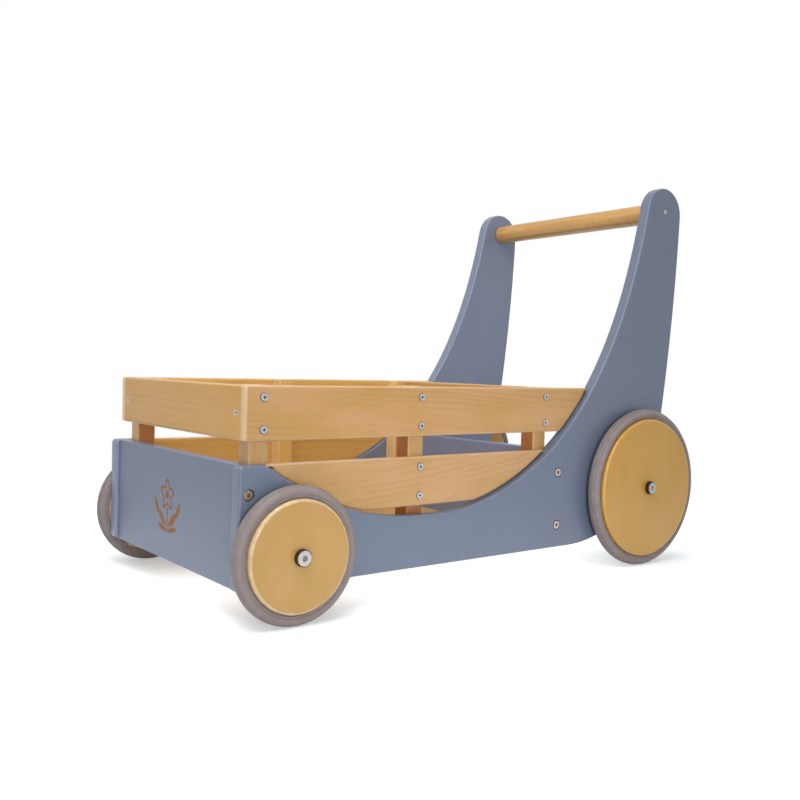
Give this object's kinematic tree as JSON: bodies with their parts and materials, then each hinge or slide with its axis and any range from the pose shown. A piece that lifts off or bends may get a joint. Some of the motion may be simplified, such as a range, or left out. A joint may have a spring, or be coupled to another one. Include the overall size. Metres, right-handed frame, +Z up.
{
  "type": "baby push walker",
  "caption": "Wooden push walker: painted side panels sweep up to a round handle bar, an open slatted crate lies between them, with small front wheels and large rear wheels.",
  "frame": {"origin": "on the floor, in the middle of the walker's length and width", "axes": "+X to the left as the child who pushes it sees it, +Y to the rear, where the handle is, +Z up"},
  "size_m": [0.3612, 0.6496, 0.4644],
  "materials": {
    "blue_paint": "satin grey-blue paint on plywood",
    "pine": "clear satin lacquer",
    "plywood": "clear satin lacquer",
    "dowel": "clear satin lacquer",
    "wheel_wood": "clear satin lacquer",
    "tyre": "soft matt taupe",
    "bright_steel": "bright zinc",
    "dull_steel": "dull yellowed zinc"
  },
  "bodies": {
    "frame": {"board_bolt_front_lower_left": "dull_steel", "board_bolt_front_lower_right": "dull_steel", "board_bolt_front_upper_left": "dull_steel", "board_bolt_front_upper_right": "dull_steel", "board_bolt_rear_lower_left": "dull_steel", "board_bolt_rear_lower_right": "dull_steel", "board_bolt_rear_upper_left": "dull_steel", "board_bolt_rear_upper_right": "dull_steel", "floor_board": "plywood", "front_board": "blue_paint", "handle_bar": "dowel", "handle_screw_left": "bright_steel", "handle_screw_right": "bright_steel", "lower_slat_left": "pine", "lower_slat_right": "pine", "post_front_left": "pine", "post_front_right": "pine", "post_middle_left": "pine", "post_middle_right": "pine", "post_rear_left": "pine", "post_rear_right": "pine", "rear_board": "blue_paint", "screw_lower_slat_middle_high_left": "bright_steel", "screw_lower_slat_middle_high_right": "bright_steel", "screw_lower_slat_middle_low_left": "bright_steel", "screw_lower_slat_middle_low_right": "bright_steel", "screw_upper_slat_front_high_left": "bright_steel", "screw_upper_slat_front_high_right": "bright_steel", "screw_upper_slat_front_low_left": "bright_steel", "screw_upper_slat_front_low_right": "bright_steel", "screw_upper_slat_middle_high_left": "bright_steel", "screw_upper_slat_middle_high_right": "bright_steel", "screw_upper_slat_middle_low_left": "bright_steel", "screw_upper_slat_middle_low_right": "bright_steel", "screw_upper_slat_rear_high_left": "bright_steel", "screw_upper_slat_rear_high_right": "bright_steel", "screw_upper_slat_rear_low_left": "bright_steel", "screw_upper_slat_rear_low_right": "bright_steel", "side_panel_left": "blue_paint", "side_panel_right": "blue_paint", "upper_slat_front": "pine", "upper_slat_left": "pine", "upper_slat_rear": "pine", "upper_slat_right": "pine", "wheel_bolt_front_left": "bright_steel", "wheel_bolt_front_right": "bright_steel", "wheel_bolt_rear_left": "bright_steel", "wheel_bolt_rear_right": "bright_steel", "wheel_washer_front_left": "dull_steel", "wheel_washer_front_right": "dull_steel", "wheel_washer_rear_left": "dull_steel", "wheel_washer_rear_right": "dull_steel"},
    "wheel_front_left": {"wheel_disc_front_left": "wheel_wood", "tyre_front_left": "tyre"},
    "wheel_front_right": {"wheel_disc_front_right": "wheel_wood", "tyre_front_right": "tyre"},
    "wheel_rear_left": {"wheel_disc_rear_left": "wheel_wood", "tyre_rear_left": "tyre"},
    "wheel_rear_right": {"wheel_disc_rear_right": "wheel_wood", "tyre_rear_right": "tyre"}
  },
  "joints": [
    {"name": "front_left_wheel_turn", "type": "hinge", "parent": "frame", "child": "wheel_front_left", "pos_m": [0.1663, -0.26125, 0.0635], "axis": [1, 0, 0], "continuous": true},
    {"name": "front_right_wheel_turn", "type": "hinge", "parent": "frame", "child": "wheel_front_right", "pos_m": [-0.1663, -0.26125, 0.0635], "axis": [1, 0, 0], "continuous": true},
    {"name": "rear_left_wheel_turn", "type": "hinge", "parent": "frame", "child": "wheel_rear_left", "pos_m": [0.1663, 0.22975, 0.095], "axis": [1, 0, 0], "continuous": true},
    {"name": "rear_right_wheel_turn", "type": "hinge", "parent": "frame", "child": "wheel_rear_right", "pos_m": [-0.1663, 0.22975, 0.095], "axis": [1, 0, 0], "continuous": true}
  ]
}
